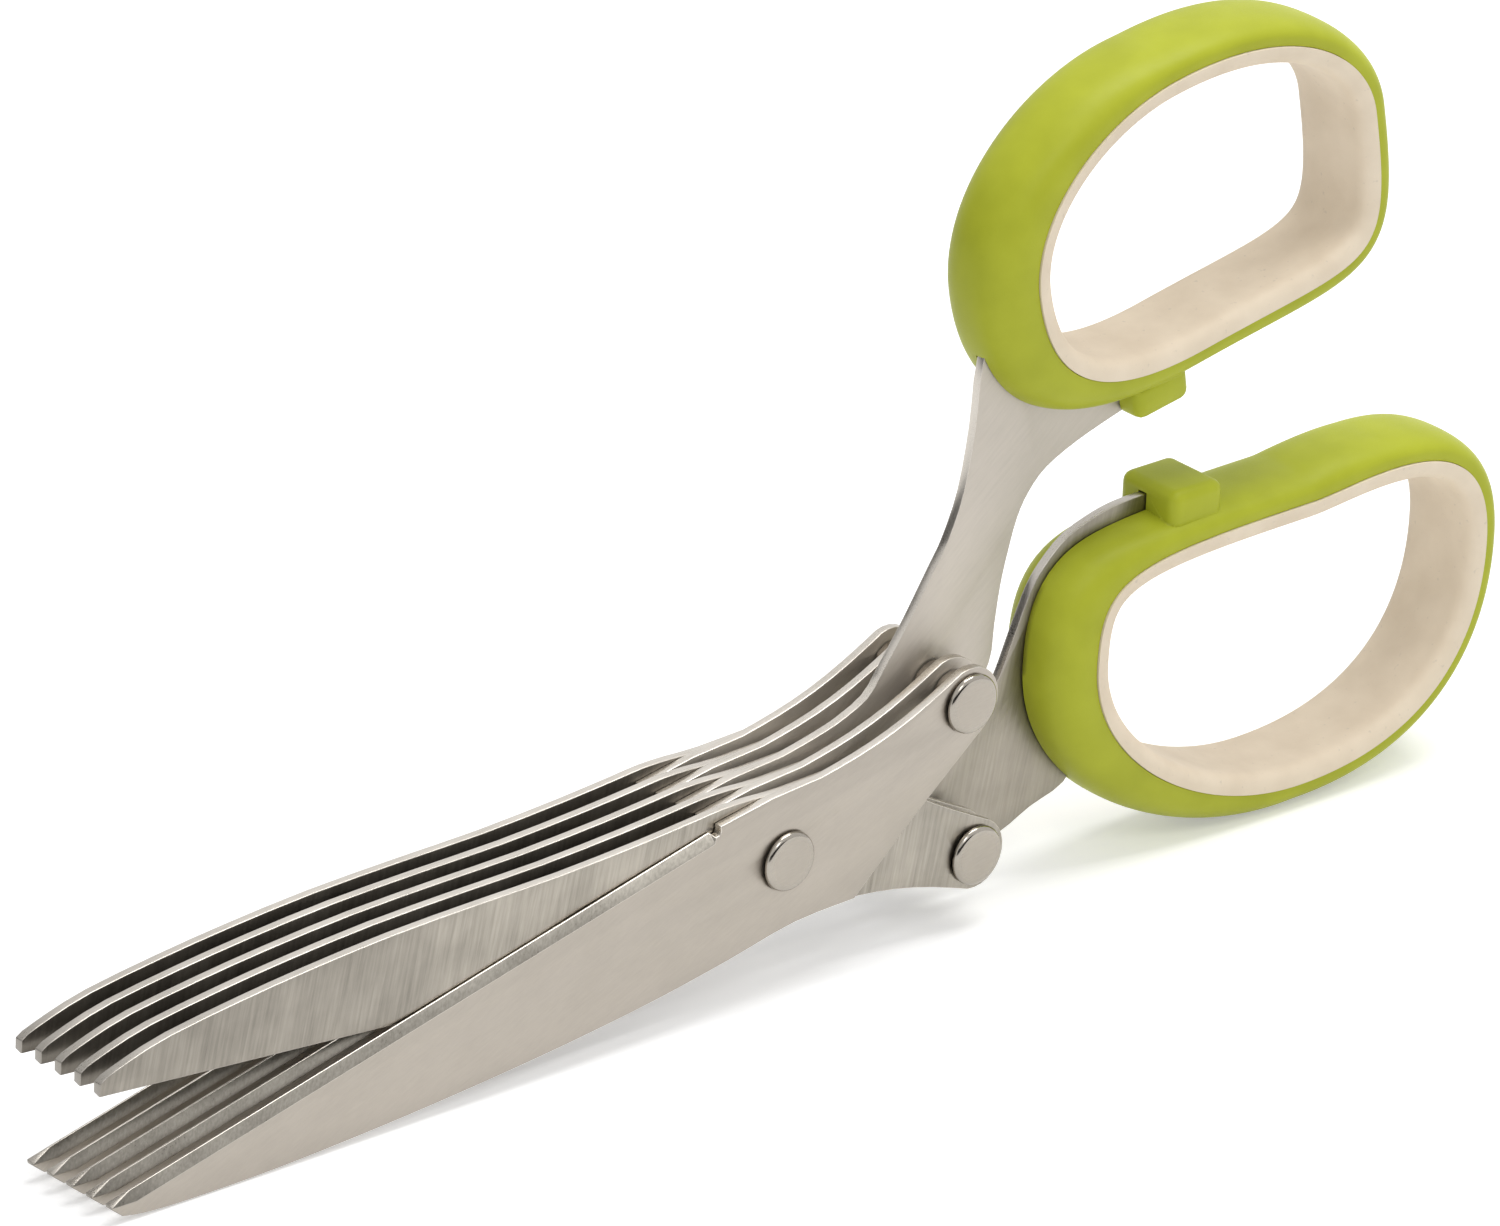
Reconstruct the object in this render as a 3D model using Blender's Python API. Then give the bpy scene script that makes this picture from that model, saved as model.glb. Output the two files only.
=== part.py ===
# Herb scissors: five pairs of blades on one pivot, two looped handles.
# Lengths are in metres, +Z is up. The scissors stand on edge: the lower
# blades point to -X, the handles to +X, and the pivot axis runs along Y.

import math

import bmesh
import bpy
import numpy as np
from mathutils import Vector
from mathutils.geometry import tessellate_polygon

for old_object in list(bpy.data.objects):
    bpy.data.objects.remove(old_object, do_unlink=True)

# Stack of plates
PAIR_COUNT = 5
PLATE_THICKNESS = 0.0010
PAIR_GAP = 0.00012
WASHER_THICKNESS = 0.0007
FACE_GAP = 0.0001
BORE_CLEARANCE = 0.00008

# Blade outline, closed: pivot at zero, blade to -X, cutting edge on top
BLADE_REACH = 0.0878
LOWER_EDGE_END_RISE = 0.0072
LOWER_NOSE_RISE = 0.0023
LOWER_NOSE_HEIGHT = 0.0004
LOWER_CHAMFER_RUN = 0.0012
LOWER_CHAMFER_DROP = 0.0013
UPPER_EDGE_END_RISE = 0.0076
UPPER_NOSE_RISE = 0.0016
UPPER_NOSE_HEIGHT = 0.0014
UPPER_CHAMFER_RUN = 0.0008
UPPER_CHAMFER_DROP = 0.0005
NOTCH_REACH = 0.0084
NOTCH_RADIUS = 0.0005
BROW_RISE = 0.0077
BROW_REACH = 0.0010
WAIST_RISE = 0.0071
WAIST_SAG = 0.0009
WAIST_REACH = 0.0056
SPINE_DROP = 0.0076
LOWER_HEEL_REACH = 0.0080
LOWER_HEEL_DROP = 0.0084
UPPER_HEEL_REACH = 0.0093
UPPER_HEEL_DROP = 0.0076
EDGE_LAND = 0.0002
EDGE_BEVEL_WIDTH = 0.00105
EDGE_BEVEL_RUN_OUT = 0.0030
EDGE_BEVEL_START_SHARE = 0.2

# Tails that carry the outer rivets, and the hollow of the flank below each
LOWER_TAIL_REACH = 0.0254
LOWER_TAIL_RISE = 0.0065
LOWER_FLANK_SAG = 0.0002
UPPER_TAIL_REACH = 0.0266
UPPER_TAIL_RISE = 0.0071
UPPER_FLANK_SAG = 0.0006
TAIL_RADIUS = 0.0038

# Rivets, washers and spacers
HEAD_RADIUS = 0.0032
HEAD_FACE_RADIUS = 0.0027
HEAD_HEIGHT = 0.0007
PIVOT_SHAFT_RADIUS = 0.0018
TAIL_SHAFT_RADIUS = 0.0015
WASHER_RADIUS = 0.0040
SPACER_RADIUS = 0.0026

# Opening of the scissors as they stand, and the stops that meet when shut
OPEN_ANGLE = math.radians(10.2)
STOP_SETBACK = 0.0048
STOP_LENGTH = 0.0071
STOP_DEPTH = 0.0084
STOP_SHARE = 0.50
STOP_GAP = 0.0002
UPPER_STOP_FLOOR = 0.0006
LOWER_STOP_FLOOR = 0.0015
STOP_EDGE = 0.0008

# Handles: green shell outside the seam, pale liner inside it
HANDLE_DEPTH = 0.0100
SHELL_WALL = 0.0026
SHELL_PIVOT_WALL = 0.0058
SHELL_RIM_LAND = 0.0006
LINER_WALL = 0.0021
LINER_GAP = 0.0002
LINER_PROUD = 0.0002
LINER_EDGE = 0.0004
TANG_COVER = 0.0012
TANG_SEAT = 0.0018
TANG_CLEARANCE = 0.0002

# Room from each tail to the handle behind it, and between the shut handles
UPPER_HANDLE_ROOM = 0.0062
LOWER_HANDLE_ROOM = 0.0070
HANDLES_APART = 0.0056

# Seam of the upper handle: tilt and reach to each side of its centre
UPPER_TILT = math.radians(1.4)
UPPER_TO_PIVOT = 0.0205
UPPER_TO_END = 0.0256
UPPER_TO_PARTNER = 0.0157
UPPER_TO_OUTSIDE = 0.0156

# Seam of the lower handle
LOWER_CENTRE_RISE = -0.0087
LOWER_TILT = math.radians(-0.3)
LOWER_TO_PIVOT = 0.0292
LOWER_TO_END = 0.0249
LOWER_TO_PARTNER = 0.0109
LOWER_TO_OUTSIDE = 0.0210

# Fullness of each seam quarter: at its start and at its end
UPPER_FULLNESS_SHARES = ((0.89, 1.19), (0.48, 0.63), (0.51, 0.58), (0.65, 0.71))
LOWER_FULLNESS_SHARES = ((0.25, 1.45), (0.62, 0.66), (0.49, 0.52), (0.91, 0.88))

# Spine of a blade: share of the blade's reach, share of the spine's drop
LOWER_SPINE_SHARES = (
    (0.00, 0.97),
    (0.10, 1.00),
    (0.21, 1.00),
    (0.33, 0.94),
    (0.45, 0.84),
    (0.58, 0.70),
    (0.70, 0.54),
    (0.80, 0.38),
    (0.90, 0.18),
    (0.955, 0.04),
)
UPPER_SPINE_SHARES = (
    (0.00, 0.95),
    (0.05, 0.97),
    (0.09, 0.97),
    (0.13, 0.93),
    (0.21, 0.855),
    (0.33, 0.78),
    (0.45, 0.76),
    (0.58, 0.72),
    (0.70, 0.62),
    (0.80, 0.50),
    (0.90, 0.34),
    (0.955, 0.18),
)

# Tang edges: share along the line from root to end, share to its left
UPPER_BACK_SHARES = (
    (0.072, -0.059),
    (0.157, -0.076),
    (0.26, -0.092),
    (0.39, -0.105),
    (0.461, -0.111),
    (0.573, -0.10),
    (0.715, -0.057),
    (0.865, 0.001),
)
UPPER_FRONT_SHARES = (
    (0.03, -0.07),
    (0.16, -0.062),
    (0.257, 0.004),
    (0.358, 0.071),
    (0.446, 0.118),
    (0.538, 0.16),
    (0.616, 0.176),
    (0.703, 0.168),
    (0.816, 0.116),
    (0.927, 0.048),
)
LOWER_BACK_SHARES = (
    (0.20, 0.05),
    (0.42, 0.10),
    (0.62, 0.095),
    (0.83, 0.105),
)
LOWER_FRONT_SHARES = (
    (0.10, -0.019),
    (0.18, -0.024),
    (0.27, -0.034),
    (0.35, -0.056),
    (0.44, -0.10),
    (0.505, -0.131),
    (0.57, -0.159),
    (0.635, -0.172),
    (0.735, -0.168),
    (0.85, -0.118),
    (0.93, -0.062),
)

# Where each tang leaves the plate: share from waist to tail, share from tail to heel
UPPER_ROOT_SHARES = (0.38, 0.0)
LOWER_ROOT_SHARES = (1.0, 0.15)

# Where the tang's end leaves and joins the seam's offset: share of the loop
UPPER_TANG_LOOP_SHARES = (0.09, 0.215)
LOWER_TANG_LOOP_SHARES = (0.12, 0.33)

# Counts of the facets
EDGE_STEPS = 6
SPINE_STEPS = 36
TAIL_STEPS = 12
PATH_STEPS = 3
HOLLOW_STEPS = 8
HOLE_STEPS = 16
HEAD_STEPS = 20
RIM_STEPS = 3
LOOP_STEPS = 64
SHELL_SECTION_STEPS = 8
STOP_EDGE_STEPS = 2
SHELL_ROUNDNESS_EXPONENT = 2.4
SMOOTH_ANGLE = math.radians(40.0)

# Least cosine of half a corner's turn, and a round bevel
CORNER_SHARE = 0.5
BEVEL_PROFILE_SHARE = 0.5

FULL_TURN = math.tau
QUARTER_TURN = math.pi / 2

# Derived sizes
PITCH = PLATE_THICKNESS + PLATE_THICKNESS + PAIR_GAP + WASHER_THICKNESS + FACE_GAP + FACE_GAP
STACK_HALF = (PAIR_COUNT - 1) * PITCH / 2 + PAIR_GAP / 2 + PLATE_THICKNESS
MIDDLE_PAIR = (PAIR_COUNT - 1) // 2
BORE_PIVOT_RADIUS = PIVOT_SHAFT_RADIUS + BORE_CLEARANCE
BORE_TAIL_RADIUS = TAIL_SHAFT_RADIUS + BORE_CLEARANCE
SPACER_LENGTH = PITCH - PLATE_THICKNESS - FACE_GAP - FACE_GAP

# Handle places: each shell stands clear of its tail, and the shut handles of each other
HANDLE_SETBACK = TAIL_RADIUS + SHELL_PIVOT_WALL
UPPER_CENTRE_REACH = LOWER_TAIL_REACH + HANDLE_SETBACK + UPPER_HANDLE_ROOM + UPPER_TO_PIVOT
LOWER_CENTRE_REACH = UPPER_TAIL_REACH + HANDLE_SETBACK + LOWER_HANDLE_ROOM + LOWER_TO_PIVOT
LOWER_SHELL_TOP = LOWER_TO_PARTNER - LOWER_CENTRE_RISE + SHELL_WALL
UPPER_CENTRE_RISE = LOWER_SHELL_TOP + HANDLES_APART + SHELL_WALL + UPPER_TO_PARTNER
STOP_REACH = UPPER_CENTRE_REACH - STOP_SETBACK
STOP_LEVEL = LOWER_SHELL_TOP + HANDLES_APART * STOP_SHARE


def pair_centre(index):
    """Depth of the middle of one pair of blades."""
    return (index - (PAIR_COUNT - 1) / 2) * PITCH


def make_material(name, colour, roughness, metallic):
    """A plain surface."""
    material = bpy.data.materials.new(name)
    material.use_nodes = True
    shader = material.node_tree.nodes["Principled BSDF"]
    shader.inputs["Base Color"].default_value = colour
    shader.inputs["Roughness"].default_value = roughness
    shader.inputs["Metallic"].default_value = metallic
    return material


def smooth_path(points, steps):
    """A curve through the points, without its last point."""
    path = []
    last = len(points) - 1
    for index in range(last):
        before = points[max(index - 1, 0)]
        start = points[index]
        end = points[index + 1]
        after = points[min(index + 2, last)]
        for step in range(steps):
            t = step / steps
            lead = (end - before) / 2
            trail = (after - start) / 2
            rise = t * t * (3 - 2 * t)
            spot = start.lerp(end, rise)
            spot = spot + lead * (t * (1 - t) * (1 - t))
            spot = spot - trail * (t * t * (1 - t))
            path.append(spot)
    return path


def arc(centre, radius, start_angle, end_angle, steps):
    """Points on an arc, both ends included."""
    points = []
    for step in range(steps + 1):
        angle = start_angle + (end_angle - start_angle) * step / steps
        offset = Vector((math.cos(angle), math.sin(angle)))
        points.append(centre + offset * radius)
    return points


def share_points(start, end, shares):
    """Points given as shares of the line from start to end and of its left side."""
    along = end - start
    left = Vector((-along.y, along.x))
    return [start + along * share[0] + left * share[1] for share in shares]


def offset_closed(points, distance):
    """A closed outline moved outwards; the outline runs clockwise."""
    count = len(points)
    moved = []
    for index in range(count):
        before = points[index - 1]
        after = points[(index + 1) % count]
        way_in = (points[index] - before).normalized()
        way_out = (after - points[index]).normalized()
        left_in = Vector((-way_in.y, way_in.x))
        left_out = Vector((-way_out.y, way_out.x))
        middle = (left_in + left_out).normalized()
        reach = max(middle.dot(left_in), CORNER_SHARE)
        moved.append(points[index] + middle * (distance / reach))
    return moved


class Loop:
    """Seam between shell and liner, with its outward side at every point."""

    def __init__(self, centre, tilt, reaches, fullness):
        to_pivot, to_end, to_partner, to_outside = reaches
        corners = (
            Vector((0, -to_partner)),
            Vector((-to_pivot, 0)),
            Vector((0, to_outside)),
            Vector((to_end, 0)),
        )
        quarters = (fullness[3], fullness[2], fullness[1], fullness[0])
        dense = []
        fine = LOOP_STEPS
        for index in range(len(corners)):
            start = corners[index]
            end = corners[(index + 1) % len(corners)]
            full_end, full_start = quarters[index]
            bend = start + end
            for step in range(fine):
                t = step / fine
                first = start.lerp(bend, full_start)
                second = end.lerp(bend, full_end)
                a = start.lerp(first, t)
                b = first.lerp(second, t)
                c = second.lerp(end, t)
                dense.append(a.lerp(b, t).lerp(b.lerp(c, t), t))
        lengths = [0.0]
        for index in range(len(dense)):
            following = dense[(index + 1) % len(dense)]
            lengths.append(lengths[-1] + (following - dense[index]).length)
        places = np.linspace(0.0, lengths[-1], LOOP_STEPS, endpoint=False)
        closed = dense + [dense[0]]
        xs = np.interp(places, lengths, [point.x for point in closed])
        zs = np.interp(places, lengths, [point.y for point in closed])
        cosine = math.cos(tilt)
        sine = math.sin(tilt)
        self.points = []
        for x, z in zip(xs, zs):
            turned = Vector((x * cosine - z * sine, x * sine + z * cosine))
            self.points.append(centre + turned)
        self.normals = []
        for index in range(LOOP_STEPS):
            along = self.points[(index + 1) % LOOP_STEPS] - self.points[index - 1]
            self.normals.append(Vector((-along.y, along.x)).normalized())

    def wall(self, index):
        """Thickness of the shell, which grows where the loop faces the pivot."""
        facing = max(-self.normals[index].x, 0.0)
        return SHELL_WALL + (SHELL_PIVOT_WALL - SHELL_WALL) * facing

    def offset(self, index, distance):
        return self.points[index] + self.normals[index] * distance


class Side:
    """Outline of the blades of one half."""

    def __init__(self, nose_sizes, tail_reach, tail_rise, heel_reach, heel_drop, flank_sag, spine_shares):
        self.edge_end_rise, self.nose_rise, self.nose_height = nose_sizes[:3]
        self.chamfer_run, self.chamfer_drop = nose_sizes[3:]
        self.tail = Vector((tail_reach, tail_rise))
        self.flank_sag = flank_sag
        self.spine_shares = spine_shares
        self.waist = Vector((WAIST_REACH, WAIST_RISE))
        self.heel = Vector((heel_reach, -heel_drop))
        self.top_normal = self.round_normal(self.waist, 1.0)
        self.flank_normal = self.round_normal(self.heel, -1.0)

    def round_normal(self, corner, left_sign):
        """Direction from the tail's centre square to the edge that runs to a corner."""
        toward = self.tail - corner
        lean = math.asin(TAIL_RADIUS / toward.length)
        along = toward.normalized()
        left = Vector((-along.y, along.x)) * left_sign
        return left * math.cos(lean) - along * math.sin(lean)

    def edge_height(self, x):
        """Height of the straight cutting edge above the closing line."""
        slope = (self.edge_end_rise - self.nose_rise) / (BLADE_REACH - NOTCH_REACH)
        return self.edge_end_rise + slope * (x + NOTCH_REACH)

    def top(self):
        """Nose, cutting edge, notch and brow, from the nose towards the tail."""
        nose = Vector((-BLADE_REACH, self.edge_height(-BLADE_REACH)))
        notch_start = -NOTCH_REACH - NOTCH_RADIUS
        edge_end = Vector((notch_start, self.edge_height(notch_start)))
        points = [nose.lerp(edge_end, step / EDGE_STEPS) for step in range(EDGE_STEPS + 1)]
        run_out = nose + (edge_end - nose).normalized() * EDGE_BEVEL_RUN_OUT
        points.insert(1, run_out)
        edge_count = len(points)
        centre = Vector((-NOTCH_REACH, self.edge_height(-NOTCH_REACH)))
        bite = arc(centre, NOTCH_RADIUS, -math.pi, 0.0, RIM_STEPS)
        points.extend(bite[1:])
        points.append(Vector((-NOTCH_REACH + NOTCH_RADIUS, BROW_RISE)))
        points.append(Vector((-BROW_REACH, BROW_RISE)))
        return points, edge_count

    def waist_path(self, share):
        """Hollow top edge from the waist to a share of the way to the tail's round."""
        tail_top = self.tail + self.top_normal * TAIL_RADIUS
        path = []
        for step in range(HOLLOW_STEPS + 1):
            way = share * step / HOLLOW_STEPS
            sag = WAIST_SAG * math.sin(math.pi * way)
            path.append(self.waist.lerp(tail_top, way) - self.top_normal * sag)
        return path

    def flank_path(self, share):
        """Hollow flank to the heel, from a share of the way that starts at the tail's round."""
        start = self.tail + self.flank_normal * TAIL_RADIUS
        path = []
        for step in range(HOLLOW_STEPS + 1):
            way = share + (1.0 - share) * step / HOLLOW_STEPS
            sag = self.flank_sag * math.sin(math.pi * way)
            path.append(start.lerp(self.heel, way) - self.flank_normal * sag)
        return path

    def bottom(self, flank_share):
        """Flank, heel, spine and blunt nose, from the tail towards the nose."""
        flank = self.flank_path(flank_share)
        points = flank[:-1]
        spine = [flank[-1]]
        for reach_share, drop_share in self.spine_shares:
            spine.append(Vector((-BLADE_REACH * reach_share, -SPINE_DROP * drop_share)))
        nose_low = Vector((-BLADE_REACH, self.edge_height(-BLADE_REACH) - self.nose_height))
        spine.append(nose_low + Vector((self.chamfer_run, -self.chamfer_drop)))
        steps = max(SPINE_STEPS // len(spine), 1)
        points.extend(smooth_path(spine, steps))
        points.append(spine[-1])
        points.append(nose_low)
        return points

    def short_outline(self):
        """Outline of a blade that ends in a round tail."""
        points, edge_count = self.top()
        points.extend(self.waist_path(1.0)[:-1])
        start = math.atan2(self.top_normal.y, self.top_normal.x)
        end = math.atan2(self.flank_normal.y, self.flank_normal.x)
        points.extend(arc(self.tail, TAIL_RADIUS, start, end, TAIL_STEPS)[:-1])
        points.extend(self.bottom(0.0))
        return points, edge_count

    def tang_outline(self, loop, root_shares, back_shares, front_shares, loop_shares, seat_level):
        """Outline of a long plate, and the part of it behind the tail."""
        points, edge_count = self.top()
        root_path = self.waist_path(root_shares[0])
        back_root = root_path[-1]
        first = round(loop_shares[1] * LOOP_STEPS)
        last = round(loop_shares[0] * LOOP_STEPS)
        back_end = loop.offset(first, TANG_COVER)
        back = [back_root] + share_points(back_root, back_end, back_shares) + [back_end]
        back_path = smooth_path(back, PATH_STEPS)
        ended = [loop.offset(index, TANG_COVER) for index in range(first, last, -1)]
        seat = STOP_REACH - STOP_LENGTH / 2 + TANG_SEAT
        seat_top = Vector((seat, loop.offset(last, TANG_COVER).y))
        front_end = Vector((seat, seat_level))
        front_root = self.flank_path(root_shares[1])[0]
        front = [front_end]
        front.extend(reversed(share_points(front_root, front_end, front_shares)))
        front.append(front_root)
        front_path = smooth_path(front, PATH_STEPS)
        points.extend(root_path[:-1])
        tang = back_path + ended + [seat_top] + front_path
        points.extend(tang)
        points.extend(self.bottom(root_shares[1]))
        return points, edge_count, tang


def add_ring(mesh, points, y):
    return [mesh.verts.new((point.x, y, point.y)) for point in points]


def add_wall(mesh, near, far):
    """Quads between two rings; near is the one with the smaller depth."""
    count = len(near)
    for index in range(count):
        following = (index + 1) % count
        mesh.faces.new((near[index], near[following], far[following], far[index]))


def add_cap(mesh, rings, towards_viewer):
    """Triangles over an outline with holes."""
    flat = [[Vector((vert.co.x, vert.co.z, 0.0)) for vert in ring] for ring in rings]
    verts = [vert for ring in rings for vert in ring]
    for corners in tessellate_polygon(flat):
        a, b, c = [verts[corner] for corner in corners]
        turn = (b.co - a.co).cross(c.co - a.co).y
        if (turn < 0.0) != towards_viewer:
            a, c = c, a
        mesh.faces.new((a, b, c))


def finish_mesh(name, mesh, smooth_angle=None):
    bmesh.ops.recalc_face_normals(mesh, faces=mesh.faces)
    data = bpy.data.meshes.new(name)
    mesh.to_mesh(data)
    mesh.free()
    if smooth_angle is not None:
        data.shade_smooth()
        data.set_sharp_from_angle(angle=smooth_angle)
    return data


def hole_ring(centre, radius):
    return arc(centre, radius, 0.0, FULL_TURN, HOLE_STEPS)[:-1]


def plate_mesh(name, tail, outline, edge_count):
    """A plate from its inner face at zero depth to its bevelled outer face."""
    mesh = bmesh.new()
    ground = []
    nose = outline[0]
    along = (outline[edge_count - 1] - nose).normalized()
    inward = Vector((along.y, -along.x))
    for index, point in enumerate(outline):
        if index >= edge_count:
            ground.append(point.copy())
            continue
        way = min((point - nose).length / EDGE_BEVEL_RUN_OUT, 1.0)
        share = EDGE_BEVEL_START_SHARE + (1.0 - EDGE_BEVEL_START_SHARE) * way
        ground.append(point + inward * (EDGE_BEVEL_WIDTH * share))
    outer = add_ring(mesh, ground, -PLATE_THICKNESS)
    land = add_ring(mesh, outline, -EDGE_LAND)
    inner = add_ring(mesh, outline, 0.0)
    add_wall(mesh, outer, land)
    add_wall(mesh, land, inner)
    outer_rings = [outer]
    inner_rings = [inner]
    holes = (
        (Vector((0.0, 0.0)), BORE_PIVOT_RADIUS),
        (tail, BORE_TAIL_RADIUS),
    )
    for centre, radius in holes:
        ring = hole_ring(centre, radius)
        near = add_ring(mesh, ring, -PLATE_THICKNESS)
        far = add_ring(mesh, ring, 0.0)
        add_wall(mesh, near, far)
        outer_rings.append(near)
        inner_rings.append(far)
    add_cap(mesh, outer_rings, True)
    add_cap(mesh, inner_rings, False)
    return finish_mesh(name, mesh)


def turned_mesh(name, profile, steps):
    """A solid turned about Y from (radius, depth) points, both ends on the axis."""
    mesh = bmesh.new()
    rings = []
    for radius, depth in profile:
        if radius == 0.0:
            rings.append([mesh.verts.new((0.0, depth, 0.0))])
            continue
        ring = arc(Vector((0.0, 0.0)), radius, 0.0, FULL_TURN, steps)[:-1]
        rings.append(add_ring(mesh, ring, depth))
    for near, far in zip(rings, rings[1:]):
        for index in range(steps):
            following = (index + 1) % steps
            if len(near) == 1:
                mesh.faces.new((near[0], far[index], far[following]))
            elif len(far) == 1:
                mesh.faces.new((near[index], far[0], near[following]))
            else:
                mesh.faces.new((near[index], far[index], far[following], near[following]))
    return finish_mesh(name, mesh, SMOOTH_ANGLE)


def rivet_mesh(name, shaft_radius, near, far):
    """A rivet with a low flat head before the near face and behind the far face."""
    rim = []
    for step in range(RIM_STEPS + 1):
        angle = QUARTER_TURN * step / RIM_STEPS
        radius = HEAD_FACE_RADIUS + (HEAD_RADIUS - HEAD_FACE_RADIUS) * math.sin(angle)
        depth = HEAD_HEIGHT * math.cos(angle)
        rim.append((radius, depth))
    profile = [(0.0, near - HEAD_HEIGHT)]
    profile.extend((radius, near - depth) for radius, depth in rim)
    profile.append((shaft_radius, near))
    profile.append((shaft_radius, far))
    profile.extend((radius, far + depth) for radius, depth in reversed(rim))
    profile.append((0.0, far + HEAD_HEIGHT))
    return turned_mesh(name, profile, HEAD_STEPS)


def ring_mesh(name, bore, radius, length):
    """A flat ring or sleeve about Y, centred on zero depth."""
    mesh = bmesh.new()
    near_y = -length / 2
    far_y = length / 2
    centre = Vector((0.0, 0.0))
    outer_ring = arc(centre, radius, 0.0, FULL_TURN, HOLE_STEPS)[:-1]
    inner_ring = arc(centre, bore, 0.0, FULL_TURN, HOLE_STEPS)[:-1]
    outer_near = add_ring(mesh, outer_ring, near_y)
    outer_far = add_ring(mesh, outer_ring, far_y)
    inner_near = add_ring(mesh, inner_ring, near_y)
    inner_far = add_ring(mesh, inner_ring, far_y)
    add_wall(mesh, outer_near, outer_far)
    add_wall(mesh, inner_near, inner_far)
    add_wall(mesh, outer_near, inner_near)
    add_wall(mesh, outer_far, inner_far)
    return finish_mesh(name, mesh, SMOOTH_ANGLE)


def swept_mesh(name, loop, section):
    """A closed section carried round the loop; section gives (offset, depth) points."""
    mesh = bmesh.new()
    rows = []
    for index in range(LOOP_STEPS):
        row = []
        for distance, depth in section(index):
            point = loop.offset(index, distance)
            row.append(mesh.verts.new((point.x, depth, point.y)))
        rows.append(row)
    for index in range(LOOP_STEPS):
        row = rows[index]
        following = rows[(index + 1) % LOOP_STEPS]
        for place in range(len(row)):
            after = (place + 1) % len(row)
            mesh.faces.new((row[place], row[after], following[after], following[place]))
    return finish_mesh(name, mesh, SMOOTH_ANGLE)


def shell_section(loop):
    half_depth = HANDLE_DEPTH / 2

    def section(index):
        wall = loop.wall(index) - SHELL_RIM_LAND
        points = [(0.0, half_depth), (0.0, -half_depth)]
        for step in range(SHELL_SECTION_STEPS + 1):
            angle = -QUARTER_TURN + math.pi * step / SHELL_SECTION_STEPS
            power = 2.0 / SHELL_ROUNDNESS_EXPONENT
            out = abs(math.cos(angle)) ** power
            side = math.copysign(abs(math.sin(angle)) ** power, math.sin(angle))
            points.append((SHELL_RIM_LAND + wall * out, half_depth * side))
        return points

    return section


def liner_section(index):
    half_depth = HANDLE_DEPTH / 2 + LINER_PROUD
    return [
        (-LINER_GAP, half_depth),
        (-LINER_GAP, -half_depth),
        (-LINER_WALL + LINER_EDGE, -half_depth),
        (-LINER_WALL, -half_depth + LINER_EDGE),
        (-LINER_WALL, half_depth - LINER_EDGE),
        (-LINER_WALL + LINER_EDGE, half_depth),
    ]


def prism_mesh(name, outline, near_y, far_y):
    mesh = bmesh.new()
    near = add_ring(mesh, outline, near_y)
    far = add_ring(mesh, outline, far_y)
    add_wall(mesh, near, far)
    add_cap(mesh, [near], True)
    add_cap(mesh, [far], False)
    return finish_mesh(name, mesh)


def stop_mesh(name, loop, stop_level):
    """A block with rounded edges that stands on the shell and meets its partner."""
    low = stop_level + STOP_GAP / 2
    facing = [index for index in range(LOOP_STEPS) if loop.normals[index].y < 0.0]
    nearest = min(facing, key=lambda index: abs(loop.points[index].x - STOP_REACH))
    high = loop.offset(nearest, SHELL_WALL / 2).y
    left = STOP_REACH - STOP_LENGTH / 2
    right = STOP_REACH + STOP_LENGTH / 2
    outline = [Vector((left, high)), Vector((right, high)), Vector((right, low)), Vector((left, low))]
    mesh = bmesh.new()
    near = add_ring(mesh, outline, -STOP_DEPTH / 2)
    far = add_ring(mesh, outline, STOP_DEPTH / 2)
    add_wall(mesh, near, far)
    mesh.faces.new(near)
    mesh.faces.new(list(reversed(far)))
    bmesh.ops.recalc_face_normals(mesh, faces=mesh.faces)
    soft = []
    for edge in mesh.edges:
        first, second = edge.verts
        if first.co.z + second.co.z > low + high:
            continue
        soft.append(edge)
    bmesh.ops.bevel(
        mesh,
        geom=soft,
        offset=STOP_EDGE,
        segments=STOP_EDGE_STEPS,
        profile=BEVEL_PROFILE_SHARE,
        affect="EDGES",
        clamp_overlap=True,
        material=-1,
    )
    return finish_mesh(name, mesh)


def add_object(name, data, parent, material=None):
    item = bpy.data.objects.new(name, data)
    bpy.context.scene.collection.objects.link(item)
    item.parent = parent
    if material is not None:
        data.materials.append(material)
    return item


def add_empty(name, parent=None):
    empty = bpy.data.objects.new(name, None)
    bpy.context.scene.collection.objects.link(empty)
    empty.parent = parent
    return empty


def hide_cutter(item):
    item.hide_render = True
    item.display_type = "WIRE"


def add_boolean(item, cutter, operation):
    modifier = item.modifiers.new(cutter.name, "BOOLEAN")
    modifier.operation = operation
    modifier.solver = "EXACT"
    modifier.object = cutter


def add_handle(side, loop, tang, stop_level, parent, shell_material, liner_material):
    """Shell with its stop and its slot for the tang, and the liner inside it."""
    tang_depth = -(PAIR_GAP + PLATE_THICKNESS) / 2
    shell = add_object(
        side + "_handle_shell",
        swept_mesh(side + "_handle_shell", loop, shell_section(loop)),
        parent,
        shell_material,
    )
    stop = add_object(side + "_stop_block", stop_mesh(side + "_stop_block", loop, stop_level), parent)
    hide_cutter(stop)
    add_boolean(shell, stop, "UNION")
    roomy = offset_closed(tang, TANG_CLEARANCE)
    slot_half = PLATE_THICKNESS / 2 + TANG_CLEARANCE
    slot_data = prism_mesh(side + "_tang_slot", roomy, -slot_half, slot_half)
    slot = add_object(side + "_tang_slot", slot_data, parent)
    slot.location.y = tang_depth
    hide_cutter(slot)
    add_boolean(shell, slot, "DIFFERENCE")
    liner = add_object(
        side + "_handle_liner",
        swept_mesh(side + "_handle_liner", loop, liner_section),
        parent,
        liner_material,
    )
    return shell, liner


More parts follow.
